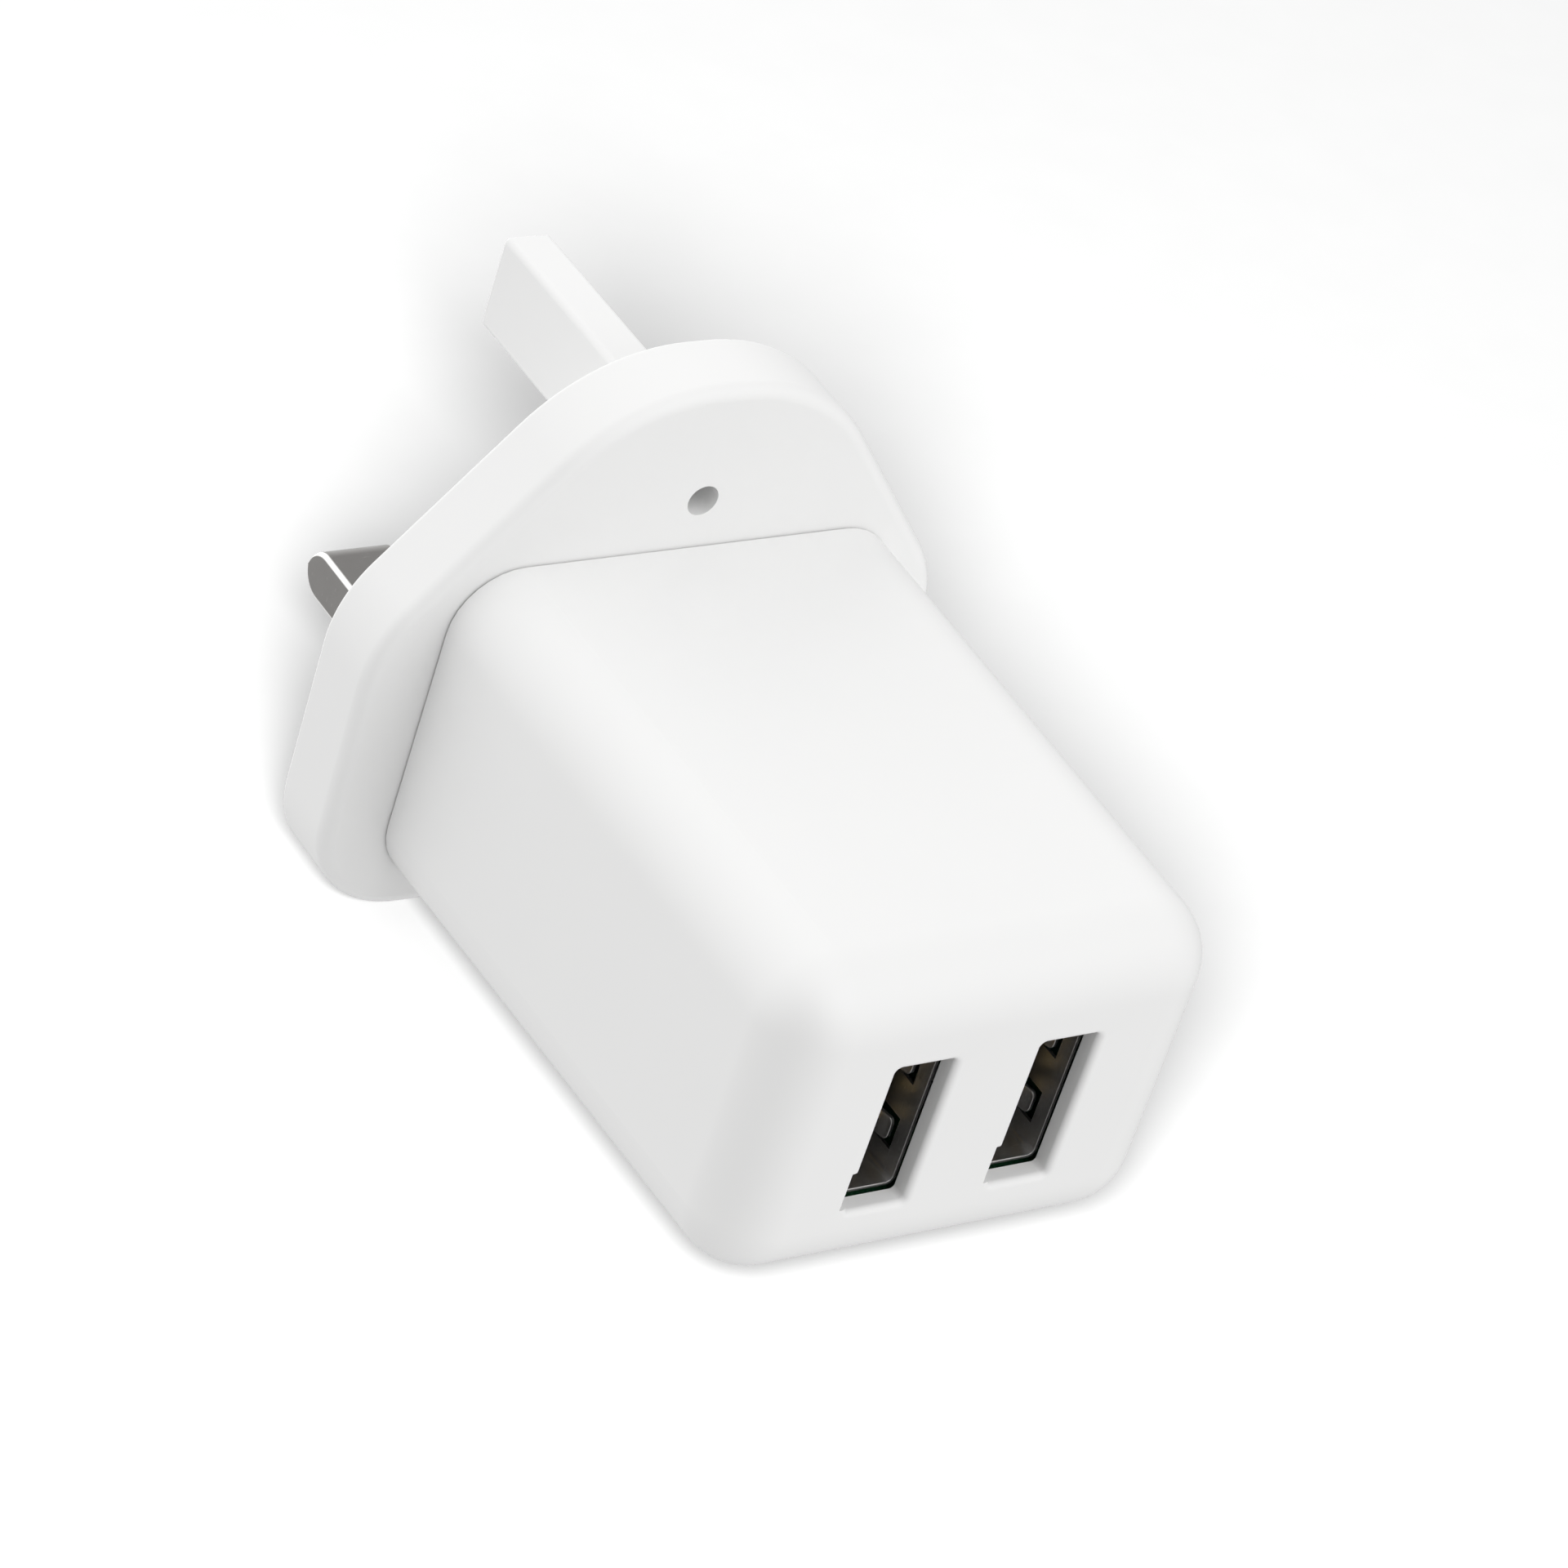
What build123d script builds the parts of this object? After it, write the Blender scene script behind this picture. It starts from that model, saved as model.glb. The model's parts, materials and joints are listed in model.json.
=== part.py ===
from build123d import *
import os

# Wall charger with three fixed plug pins and two upright USB-A ports, in millimetres.
# +Y runs along the pins into the wall, +Z points up to the earth pin, +X is to the right
# for someone who faces the ports. The origin is midway between the two line pins, on the
# flat face that meets the socket, so the ports look towards -Y.

# Plug pins, within what the three-pin 13 A plug standard allows
line_pin_offset = 11.1
line_pin_width = 6.35
line_pin_height = 4.0
line_pin_length = 18.2
line_pin_edge_round = 0.3
earth_pin_rise = 22.2
earth_pin_width = 4.0
earth_pin_height = 8.0
earth_pin_length = 22.73
earth_pin_edge_round = 0.5
earth_tip_length = 0.9
earth_tip_inset = 0.7
earth_tip_round = 0.3
earth_head_width = 9.2
earth_head_extra_height = 1.0
earth_head_corner = 1.0
sleeve_length = 9.5
sleeve_wall = 0.5
waist_edge_round = 0.2
pin_nose_length = 2.0
pin_head_margin = 1.0
pin_head_thickness = 1.6
pin_head_corner = 0.6
core_hole_diameter = 2.6
core_hole_depth = 9.0

# Flange: the outline is the taut band round three pairs of circles (x, z, radius)
flange_circles = [(0.85, 15.85, 16.25), (14.55, 8.25, 10.45), (16.1, -4.7, 8.65)]
flange_thickness = 6.5
flange_front_round = 1.1
flange_rear_round = 0.5
flange_wall = 2.0
flange_ledge = 1.2
flange_front_wall = 2.2
pin_plate_thickness = 2.6
plate_clearance = 0.1
plate_edge_chamfer = 0.25
plate_boss_wall = 1.2
plate_boss_corner = 1.5
head_clearance = 0.1
head_collar_wall = 1.2
collar_wall = 0.9

# Body: a drafted box, largest where it leaves the flange
body_width = 38.8
body_bottom = -10.35
body_top = 18.05
body_length = 48.2
body_draft = 0.5
body_corner = 5.3
body_front_round = 5.2
body_wall = 2.0
body_front_wall = 1.6
spigot_wall = 1.0
spigot_length = 2.8
spigot_clearance = 0.1
seam_depth = 0.3
seam_width = 0.15
rail_height = 1.0
rail_width = 2.2
rail_overlap = 0.8
rail_end_gap = 4.0

# Port windows, each with a small step at the foot of its left edge
port_offset = 6.23
port_rise = 3.26
window_width = 5.1
window_height = 13.2
window_shift = -0.055
window_corner = 0.4
window_round = 0.55
window_step_width = 0.7
window_step_height = 3.85

# USB-A receptacles, on edge, broad faces to the left and right
shell_width = 5.72
shell_height = 13.1
shell_sheet = 0.3
shell_corner = 0.75
shell_length = 14.2
shell_gap = 0.35
shell_shift = -0.15
tongue_thickness = 1.84
tongue_wall_gap = 0.66
tongue_height = 11.1
tongue_recess = 2.8
tongue_chamfer = 0.25
block_depth = 4.0

# Retention springs in the receptacles' broad walls, and the solder legs below
spring_height = 3.0
spring_width = 1.95
spring_slot_width = 2.85
spring_slot_front = 1.3
spring_tip = 1.75
spring_crown = 3.4
spring_root = 7.5
spring_bulge = 0.45
spring_tip_lift = 0.05
leg_start = 8.2
leg_length = 2.0
leg_drop = 2.4
leg_clearance = 0.3

# Contacts: fingers in the tongue's grooves and the tails behind them
contact_heights = (-3.5, -1.0, 1.0, 3.5)
contact_width = 1.0
contact_sheet = 0.2
contact_sink = 0.45
contact_bulge = 0.3
finger_gap = 0.15
finger_straight = 1.2
finger_crown = (1.9, 1.4)
finger_tip = 0.6
groove_width = 1.3
groove_depth = 1.1
groove_wall = 0.4
tail_pitch = 1.27
tail_neck = 0.5
tail_first = 0.4
tail_below_board = 1.0
tail_hole_radius = 0.45

# Main board, its parts on top and underneath
board_width = 32.8
board_front = -52.2
board_rear = -8.0
board_thickness = 1.6
board_corner = 3.5
barrier_y = -33.2
barrier_width = 31.2
barrier_height = 15.0
barrier_sheet = 0.4

# Brass strips from the line pins to the board
strip_sheet = 0.3
strip_width = 4.0
strip_rise = 2.0
strip_overlap = 3.0

# Transformer, its core lying flat round the bobbin
transformer_x = -6.5
transformer_y = -23.4
transformer_lift = 8.0
core_span = 16.1
core_depth = 4.8
core_limb = 2.15
core_centre_limb = 4.0
core_window_reach = 5.9
core_joint_gap = 0.02
bobbin_clearance = 0.15
bobbin_wall = 0.6
bobbin_half_length = 5.7
cheek_width = 7.2
cheek_height = 11.2
cheek_thickness = 0.7
pin_rail_width = 10.8
winding_width = 11.0
winding_height = 10.8
winding_corner = 2.4
winding_gap = 0.05

# Places worked out from the above
root_y = -flange_thickness
front_y = root_y - body_length
wall_inner_y = front_y + body_front_wall
body_height = body_top - body_bottom
body_mid_z = (body_top + body_bottom) / 2
ledge_y = -pin_plate_thickness
floor_y = root_y + flange_front_wall
head_y = ledge_y - pin_head_thickness
mouth_y = wall_inner_y + shell_gap
block_y = mouth_y + shell_length - block_depth
shell_back_y = mouth_y + shell_length
board_top = port_rise - shell_height / 2
board_bottom = board_top - board_thickness
tongue_face = -shell_width / 2 + shell_sheet + tongue_wall_gap + tongue_thickness
tongue_tip_y = mouth_y + tongue_recess
contact_x = tongue_face - contact_sink
contact_root_y = block_y - finger_gap
leg_y = (mouth_y + leg_start, mouth_y + leg_start + leg_length)
transformer_z = board_top + transformer_lift
sides = {"left": -1, "right": 1}


def front_plane(y):
    """Plane across the charger at depth y as seen from the room: sketch x is +X, sketch y is +Z."""
    return Plane(origin=(0, y, 0), x_dir=(1, 0, 0), z_dir=(0, -1, 0))


def slab(sketch, y_back, y_front):
    """Sketch drawn across the charger, extruded from y_back towards the room to y_front."""
    return extrude(front_plane(y_back) * sketch, y_back - y_front)


def rounded(width, height, radius, x=0.0, z=0.0):
    return Pos(x, z) * RectangleRounded(width, height, radius)


def rectangle(width, height, x=0.0, z=0.0):
    return Pos(x, z) * Rectangle(width, height)


def cuboid(x_range, y_range, z_range):
    """Box between two corners, given as three (low, high) pairs."""
    size = [high - low for low, high in (x_range, y_range, z_range)]
    middle = [(high + low) / 2 for low, high in (x_range, y_range, z_range)]
    return Pos(*middle) * Box(*size)


def upright(radius, height, x, y, base_z):
    """Vertical cylinder standing on base_z."""
    return Pos(x, y, base_z + height / 2) * Cylinder(radius, height)


def side_prism(outline, x_low, x_high):
    """Closed outline of (y, z) points, extruded from x_low to x_high."""
    side = Plane(origin=(x_low, 0, 0), x_dir=(0, 1, 0), z_dir=(1, 0, 0))
    return extrude(side * make_face(Polyline(*outline, close=True)), x_high - x_low)


def strip(points, thickness, z_low, z_high):
    """Sheet strip on edge: centreline of (x, y) points, thickened in the plane, z_low to z_high."""
    edge = Polyline(*points)
    band = trace(edge, thickness)
    return extrude(Plane.XY.offset(z_low) * band, z_high - z_low)


# Flange outline


def flange_outline(inset=0.0):
    """Convex band round the three pairs of circles, moved inwards by inset."""
    rims = [
        edge
        for x, z, radius in flange_circles
        for side in (-1, 1)
        for edge in (Pos(side * x, z) * Circle(radius - inset)).edges()
    ]
    return make_hull(rims)


def head_recess(clearance=0.0):
    """Earth pin head, wider than the pin and reaching above it, seen from the room."""
    width = earth_head_width + 2 * clearance
    height = earth_pin_height + earth_head_extra_height + clearance
    low = earth_pin_rise - earth_pin_height / 2
    return rounded(width, height, earth_head_corner, z=low + height / 2)


def line_pin_section(inset=0.0, x=0.0):
    """Section of a line pin's blade, or of its waist when inset by the sleeve's wall."""
    corner = waist_edge_round if inset else line_pin_edge_round
    return rounded(line_pin_width - 2 * inset, line_pin_height - 2 * inset, corner, x)


def earth_pin_section(inset=0.0, corner=earth_pin_edge_round):
    width = earth_pin_width - 2 * inset
    height = earth_pin_height - 2 * inset
    return rounded(width, height, corner, z=earth_pin_rise)


# Enclosure


def make_flange_housing():
    """Flange moulding: rounded front wall and rim, ledge for the pin plate, opening for the body,
    and the cored hole that runs on into the earth pin."""
    flange = slab(flange_outline(), 0, root_y)
    flange = fillet(flange.edges().group_by(Axis.Y)[0], flange_front_round)
    flange = fillet(flange.edges().group_by(Axis.Y)[-1], flange_rear_round)
    flange -= slab(flange_outline(flange_wall), 0, ledge_y)
    opening_width = body_width - 2 * spigot_wall + 2 * spigot_clearance
    opening_height = body_height - 2 * spigot_wall + 2 * spigot_clearance
    opening_corner = body_corner - spigot_wall + spigot_clearance
    collar = rounded(
        opening_width + 2 * collar_wall,
        opening_height + 2 * collar_wall,
        opening_corner + collar_wall,
        z=body_mid_z,
    )
    hollow = slab(flange_outline(flange_wall + flange_ledge), ledge_y, floor_y)
    hollow -= slab(collar, ledge_y, floor_y)
    hollow -= slab(offset(head_recess(head_clearance), head_collar_wall), ledge_y, floor_y)
    flange -= hollow
    opening = rounded(opening_width, opening_height, opening_corner, z=body_mid_z)
    flange -= slab(opening, ledge_y, root_y)
    flange -= slab(head_recess(head_clearance) - opening, ledge_y, floor_y)
    core = Pos(0, earth_pin_rise) * Circle(core_hole_diameter / 2)
    return flange - slab(core, floor_y, root_y)


def body_block(inset, front, edge_round):
    """Drafted box of the body moved inwards by inset, its front edges rounded."""

    def section(y):
        shrink = 2 * (inset + body_draft * (root_y - y) / body_length)
        shape = rounded(
            body_width - shrink, body_height - shrink, body_corner - inset, z=body_mid_z
        )
        return front_plane(y) * shape

    block = loft([section(root_y), section(front)])
    return fillet(block.edges().group_by(Axis.Y)[0], edge_round)


def make_body_shell():
    """Body moulding: thin drafted box with a spigot behind, two windows and two board rails."""
    outside = body_block(0, front_y, body_front_round)
    seam = rounded(body_width + 2, body_height + 2, body_corner + 1, z=body_mid_z)
    seam -= rounded(
        body_width - 2 * seam_depth,
        body_height - 2 * seam_depth,
        body_corner - seam_depth,
        z=body_mid_z,
    )
    outside -= slab(seam, root_y, root_y - seam_width)
    inner_round = body_front_round - body_wall
    shell = outside - body_block(body_wall, wall_inner_y, inner_round)
    spigot = rounded(
        body_width - 2 * spigot_wall,
        body_height - 2 * spigot_wall,
        body_corner - spigot_wall,
        z=body_mid_z,
    )
    bore = rounded(
        body_width - 2 * body_wall,
        body_height - 2 * body_wall,
        body_corner - body_wall,
        z=body_mid_z,
    )
    shell += slab(spigot - bore, root_y + spigot_length, root_y)
    for side in sides.values():
        x = side * port_offset + window_shift
        window = rounded(window_width, window_height, window_corner, x, port_rise)
        shell -= slab(window, wall_inner_y + 1, front_y - 1)
    front_face = shell.faces().sort_by(Axis.Y)[0]
    mouths = [edge for wire in front_face.inner_wires() for edge in wire.edges()]
    shell = fillet(mouths, window_round)
    rail_inner = board_width / 2 - rail_overlap
    for side in sides.values():
        left = side * port_offset + window_shift - window_width / 2
        foot = port_rise - window_height / 2
        shell -= cuboid(
            (left - window_step_width, left + window_step_width),
            (front_y - 1, wall_inner_y + 1),
            (foot + window_corner, foot + window_step_height),
        )
        ends = sorted((side * rail_inner, side * (rail_inner + rail_width)))
        rail = (board_bottom - rail_height, board_bottom)
        shell += cuboid(ends, (wall_inner_y + rail_end_gap, root_y - rail_end_gap), rail)
    return shell


def make_pin_plate():
    """Rear plate of the flange, flat on the socket side, moulded round the two line pins."""
    plate = slab(flange_outline(flange_wall + plate_clearance), 0, ledge_y)
    plate = chamfer(plate.edges().group_by(Axis.Y)[-1], plate_edge_chamfer)
    for side in sides.values():
        x = side * line_pin_offset
        head_width = line_pin_width + 2 * pin_head_margin
        head_height = line_pin_height + 2 * pin_head_margin
        boss_width = head_width + 2 * plate_boss_wall
        boss_height = head_height + 2 * plate_boss_wall
        plate += slab(rounded(boss_width, boss_height, plate_boss_corner, x), ledge_y, head_y)
        plate -= slab(rounded(head_width, head_height, pin_head_corner, x), ledge_y, head_y)
        plate -= slab(line_pin_section(0, x), 0, ledge_y)
    return plate - slab(earth_pin_section(), 0, ledge_y)


# Pins


def pin_nose():
    """Half-elliptical nose of a line pin in side view, so that the blade enters the socket easily."""
    start = line_pin_length - pin_nose_length
    side = Plane(origin=(-line_pin_width / 2, start, 0), x_dir=(0, 1, 0), z_dir=(1, 0, 0))
    return extrude(side * Ellipse(pin_nose_length, line_pin_height / 2), line_pin_width)


def make_line_pin(side):
    """Nickel-plated brass blade: head behind the plate, waist under the sleeve, rounded nose."""
    head_width = line_pin_width + 2 * pin_head_margin
    head_height = line_pin_height + 2 * pin_head_margin
    straight = line_pin_length - pin_nose_length
    nose = pin_nose() & slab(line_pin_section(), line_pin_length, straight)
    pin = slab(line_pin_section(), straight, sleeve_length) + nose
    pin += slab(line_pin_section(sleeve_wall), sleeve_length, ledge_y)
    pin += slab(rounded(head_width, head_height, pin_head_corner), ledge_y, head_y)
    return Pos(side * line_pin_offset, 0, 0) * pin


def make_pin_sleeve(side):
    """Insulating sleeve in the blade's waist, flush with the blade, sunk into the plate."""
    ring = line_pin_section() - line_pin_section(sleeve_wall)
    return Pos(side * line_pin_offset, 0, 0) * slab(ring, sleeve_length, ledge_y)


def make_earth_pin():
    """Plastic earth pin that only opens the socket's shutters: a solid blade with tapered tip,
    a head held between plate and flange, and a blind cored hole from the front."""
    taper_y = earth_pin_length - earth_tip_length
    blade = earth_pin_section()
    tip = earth_pin_section(earth_tip_inset, earth_tip_round)
    pin = slab(blade, taper_y, ledge_y)
    pin += loft([front_plane(taper_y) * blade, front_plane(earth_pin_length) * tip])
    pin += slab(head_recess(), ledge_y, floor_y)
    core = Pos(0, earth_pin_rise) * Circle(core_hole_diameter / 2)
    return pin - slab(core, floor_y + core_hole_depth, floor_y)


def make_contact_strip(side):
    """Brass strip from a pin's head down to the rear of the board, where it is soldered."""
    board_end = board_rear - strip_overlap
    outline = [
        (head_y, strip_rise),
        (head_y - strip_sheet, strip_rise),
        (head_y - strip_sheet, board_top + strip_sheet),
        (board_end, board_top + strip_sheet),
        (board_end, board_top),
        (head_y, board_top),
    ]
    x = side * line_pin_offset
    return side_prism(outline, x - strip_width / 2, x + strip_width / 2)


# USB receptacles, drawn about the port's own axis and then moved into place


def at_port(side, shape):
    return Pos(side * port_offset + shell_shift, 0, port_rise) * shape


def shell_section(inset=0.0):
    """Outside of the receptacle's shell, or its inside when inset by the sheet."""
    width = shell_width - 2 * inset
    height = shell_height - 2 * inset
    return rounded(width, height, shell_corner - inset)


def retention_spring(side, z):
    """Cantilever stamped in a broad wall: rooted behind, bowed inwards, its free end level."""
    wall_x = side * (shell_width - shell_sheet) / 2
    crown_x = wall_x - side * spring_bulge
    centreline = [
        (wall_x, mouth_y + spring_root + shell_sheet),
        (wall_x, mouth_y + spring_root),
        (crown_x, mouth_y + spring_crown),
        (wall_x - side * spring_tip_lift, mouth_y + spring_tip),
    ]
    return strip(centreline, shell_sheet, z - spring_width / 2, z + spring_width / 2)


def make_usb_shell():
    """Folded steel shell open at both ends, with two retention springs in each broad wall and
    a solder leg on each side that passes through the board."""
    shell = slab(shell_section() - shell_section(shell_sheet), shell_back_y, mouth_y)
    slot_y = (mouth_y + spring_slot_front, mouth_y + spring_root)
    for side in (-1, 1):
        wall = sorted((side * shell_width, side * (shell_width / 2 - 2 * shell_sheet)))
        for z in (-spring_height, spring_height):
            slot = (z - spring_slot_width / 2, z + spring_slot_width / 2)
            shell -= cuboid(wall, slot_y, slot)
            shell += retention_spring(side, z)
        leg_x = sorted((side * shell_width / 2, side * (shell_width / 2 - shell_sheet)))
        foot = -shell_height / 2
        shell += cuboid(leg_x, leg_y, (foot - leg_drop, foot + 2 * shell_corner))
    return shell


def tail_outline(order):
    """Contact tail in side view: level through the block, then down through the board.
    The higher the contact, the further back its tail goes down."""
    z = contact_heights[order]
    down_y = shell_back_y + tail_first + order * tail_pitch
    foot = board_bottom - tail_below_board - port_rise
    half = contact_width / 2
    return [
        (block_y, z - half),
        (block_y, z + half),
        (down_y + tail_neck, z + half),
        (down_y + tail_neck, foot),
        (down_y, foot),
        (down_y, z - half),
    ]


def make_contact_tails():
    """Fixed rear ends of the four contacts, gripped in the insulator block."""
    return Part() + [
        side_prism(tail_outline(order), contact_x - contact_sheet / 2, contact_x + contact_sheet / 2)
        for order in range(len(contact_heights))
    ]


def make_contacts():
    """Four springy contact fingers, rooted at the block, bowed out of the tongue's grooves."""
    centreline = [
        (contact_x, contact_root_y),
        (contact_x, contact_root_y - finger_straight),
        *((tongue_face + contact_bulge, tongue_tip_y + reach) for reach in finger_crown),
        (tongue_face - contact_bulge, tongue_tip_y + finger_tip),
    ]
    half = contact_width / 2
    return Part() + [
        strip(centreline, contact_sheet, z - half, z + half) for z in contact_heights
    ]


def make_tongue():
    """Insulator: a block that closes the back of the shell and the tongue that carries the
    contacts, with a groove behind each finger."""
    blade = cuboid(
        (tongue_face - tongue_thickness, tongue_face),
        (tongue_tip_y, block_y),
        (-tongue_height / 2, tongue_height / 2),
    )
    blade = chamfer(blade.edges().group_by(Axis.Y)[0], tongue_chamfer)
    insulator = slab(shell_section(shell_sheet), shell_back_y, block_y) + blade
    groove_x = (tongue_face - groove_depth, tongue_face + groove_depth)
    groove_y = (tongue_tip_y + groove_wall, block_y)
    for z in contact_heights:
        insulator -= cuboid(groove_x, groove_y, (z - groove_width / 2, z + groove_width / 2))
    return insulator - make_contact_tails()


# Board and what it carries


def make_main_board():
    """Board on the body's rails, with slots for the shells' legs and holes for the contact tails."""
    board = cuboid(
        (-board_width / 2, board_width / 2), (board_front, board_rear), (board_bottom, board_top)
    )
    front_corners = board.edges().filter_by(Axis.Z).group_by(Axis.Y)[0]
    board = fillet(front_corners, board_corner)
    for side in sides.values():
        port_x = side * port_offset + shell_shift
        for leg_side in (-1, 1):
            leg_x = port_x + leg_side * (shell_width - shell_sheet) / 2
            slot_x = (leg_x - leg_clearance, leg_x + leg_clearance)
            slot_y = (leg_y[0] - leg_clearance, leg_y[1] + leg_clearance)
            board -= cuboid(slot_x, slot_y, (board_bottom, board_top))
        for order in range(len(contact_heights)):
            hole_y = shell_back_y + tail_first + tail_neck / 2 + order * tail_pitch
            hole_x = port_x + contact_x
            board -= upright(tail_hole_radius, board_thickness, hole_x, hole_y, board_bottom)
    return board


def at_transformer(shape):
    return Pos(transformer_x, transformer_y, transformer_z) * shape


def make_transformer_core():
    """Two ferrite E halves that meet at mid-length, lying flat round the bobbin."""
    window_width = (core_span - 2 * core_limb - core_centre_limb) / 2
    window_x = (core_centre_limb + window_width) / 2
    halves = []
    for side in (-1, 1):
        ends = sorted((side * core_joint_gap, side * core_span / 2))
        half = cuboid((-core_span / 2, core_span / 2), ends, (-core_depth / 2, core_depth / 2))
        for slot_side in (-1, 1):
            slot_x = slot_side * window_x
            half -= cuboid(
                (slot_x - window_width / 2, slot_x + window_width / 2),
                sorted((0, side * core_window_reach)),
                (-core_depth, core_depth),
            )
        halves.append(half)
    return at_transformer(Part() + halves)


def bobbin_tube(extra):
    """Section of the bobbin's square tube, extra being how far it stands off the centre limb."""
    return rectangle(core_centre_limb + 2 * extra, core_depth + 2 * extra)


def make_transformer_bobbin():
    """Plastic former: square tube, two cheeks, and a pin rail under each cheek."""
    tube = bobbin_tube(bobbin_clearance + bobbin_wall) - bobbin_tube(bobbin_clearance)
    former = slab(tube, bobbin_half_length, -bobbin_half_length)
    cheek = rectangle(cheek_width, cheek_height) - bobbin_tube(bobbin_clearance)
    rail_top = -core_depth / 2 - bobbin_clearance
    rail_bottom = board_top - transformer_z
    for side in (-1, 1):
        inner = side * (bobbin_half_length - cheek_thickness)
        outer = side * bobbin_half_length
        former += slab(cheek, max(inner, outer), min(inner, outer))
        rail = sorted((inner, side * (core_span / 2 + bobbin_wall)))
        rail_x = (-pin_rail_width / 2, pin_rail_width / 2)
        former += cuboid(rail_x, rail, (rail_bottom, rail_top))
    return at_transformer(former)


def make_transformer_winding():
    """Copper winding under yellow tape, filling the bobbin between its cheeks."""
    outer = rounded(winding_width, winding_height, winding_corner)
    ring = outer - bobbin_tube(bobbin_clearance + bobbin_wall + winding_gap)
    half = bobbin_half_length - cheek_thickness - winding_gap
    return at_transformer(slab(ring, half, -half))


def electrolytic(radius, height, x, y):
    """Electrolytic can standing on the board, with the rolled groove near its foot."""
    can = upright(radius, height, x, y, board_top)
    can = fillet(can.edges().group_by(Axis.Z)[-1], 0.5)
    groove = Pos(x, y, board_top + 1.6) * Torus(radius + 0.15, 0.4)
    return can - groove


def make_input_capacitors():
    return Part() + [electrolytic(4.0, 12.5, 11.3, y) for y in (-27.6, -18.4)]


def make_output_capacitors():
    return Part() + [electrolytic(3.15, 11.0, x, -46.0) for x in (-12.9, 12.9)]


def make_filter_inductor():
    """Drum inductor: two flanges and a wound waist."""
    x, y = -4.2, -11.4
    drum = upright(3.0, 1.2, x, y, board_top) + upright(2.6, 7.0, x, y, board_top)
    return drum + upright(3.0, 1.2, x, y, board_top + 5.8)


def make_fusible_resistor():
    """Wire-wound fusible resistor standing on end, its upper lead folded down beside it."""
    x, y = 2.2, -11.4
    body = fillet(upright(1.7, 9.0, x, y, board_top + 0.8).edges(), 0.6)
    lead = 0.35
    stub = upright(lead, 11.0, x, y, board_top)
    return_x = x + 2.6
    bridge_z = board_top + 11.0
    fold = cuboid((x - lead, return_x + lead), (y - lead, y + lead), (bridge_z - 0.7, bridge_z))
    return body + stub + fold + upright(lead, 11.0, return_x, y, board_top)


def make_y_capacitor():
    """Disc capacitor on edge across the primary and secondary sides, on two leads."""
    x, y, radius = 4.6, -29.2, 3.5
    disc = Pos(x, y, board_top + radius + 0.6) * Rot(0, 90, 0) * Cylinder(radius, 3.0)
    disc = fillet(disc.edges(), 0.9)
    leads = [upright(0.3, 3.0, x, y + dy, board_top) for dy in (-2.2, 2.2)]
    return disc + leads


def chip(width, length, height, x, y):
    """Moulded surface-mount package under the board."""
    return cuboid(
        (x - width / 2, x + width / 2),
        (y - length / 2, y + length / 2),
        (board_bottom - height, board_bottom),
    )


def with_leads(width, length, height, x, y, pairs, lead_width):
    """Chip package with short gull leads on its two long sides."""
    package = chip(width, length, height, x, y)
    pitch = length / pairs
    for side in (-1, 1):
        for order in range(pairs):
            lead_y = y - length / 2 + (order + 0.5) * pitch
            lead_x = sorted((x + side * width / 2, x + side * (width / 2 + 0.9)))
            lead_ends = (lead_y - lead_width / 2, lead_y + lead_width / 2)
            package += cuboid(lead_x, lead_ends, (board_bottom - 0.25, board_bottom))
    return package


def make_chip_parts():
    """Row of small resistors and capacitors soldered under the board."""
    places = [(-9 + 3.2 * order, y) for y in (-30.5, -17.0) for order in range(4)]
    return Part() + [chip(1.6, 0.8, 0.6, x, y) for x, y in places]


def make_insulation_barrier():
    """Upright insulating sheet between the mains side and the ports."""
    top = board_top + 15.0
    sheet = 0.4
    return cuboid((-15.6, 15.6), (barrier_y - sheet / 2, barrier_y + sheet / 2), (board_top, top))


nodes = {
    "body_shell": make_body_shell(),
    "flange_housing": make_flange_housing(),
    "pin_plate": make_pin_plate(),
    "earth_pin": make_earth_pin(),
    "live_pin": make_line_pin(1),
    "neutral_pin": make_line_pin(-1),
    "live_pin_sleeve": make_pin_sleeve(1),
    "neutral_pin_sleeve": make_pin_sleeve(-1),
    "live_contact_strip": make_contact_strip(1),
    "neutral_contact_strip": make_contact_strip(-1),
    "main_board": make_main_board(),
    "transformer_core": make_transformer_core(),
    "transformer_bobbin": make_transformer_bobbin(),
    "transformer_winding": make_transformer_winding(),
    "input_capacitors": make_input_capacitors(),
    "output_capacitors": make_output_capacitors(),
    "filter_inductor": make_filter_inductor(),
    "fusible_resistor": make_fusible_resistor(),
    "y_capacitor": make_y_capacitor(),
    "bridge_rectifier": with_leads(3.9, 4.7, 2.4, 6.0, -13.0, 2, 0.7),
    "power_controller": with_leads(3.9, 4.9, 1.5, -4.0, -23.5, 4, 0.4),
    "output_rectifier": with_leads(4.6, 6.5, 1.2, 0.0, -36.0, 1, 2.6),
    "port_controller": with_leads(1.6, 2.9, 1.1, 0.0, -42.5, 3, 0.4),
    "chip_parts": make_chip_parts(),
    "insulation_barrier": make_insulation_barrier(),
}
for name, side in sides.items():
    nodes[f"usb_shell_{name}"] = at_port(side, make_usb_shell())
    nodes[f"usb_tongue_{name}"] = at_port(side, make_tongue())
    nodes[f"usb_contacts_{name}"] = at_port(side, make_contacts())
    nodes[f"usb_contact_tails_{name}"] = at_port(side, make_contact_tails())

os.makedirs("parts", exist_ok=True)
for name, shape in nodes.items():
    export_step(shape, f"parts/{name}.step")
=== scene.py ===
import json
import math

import bmesh
import bpy
import numpy as np
from mathutils import Matrix, Vector

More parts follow.
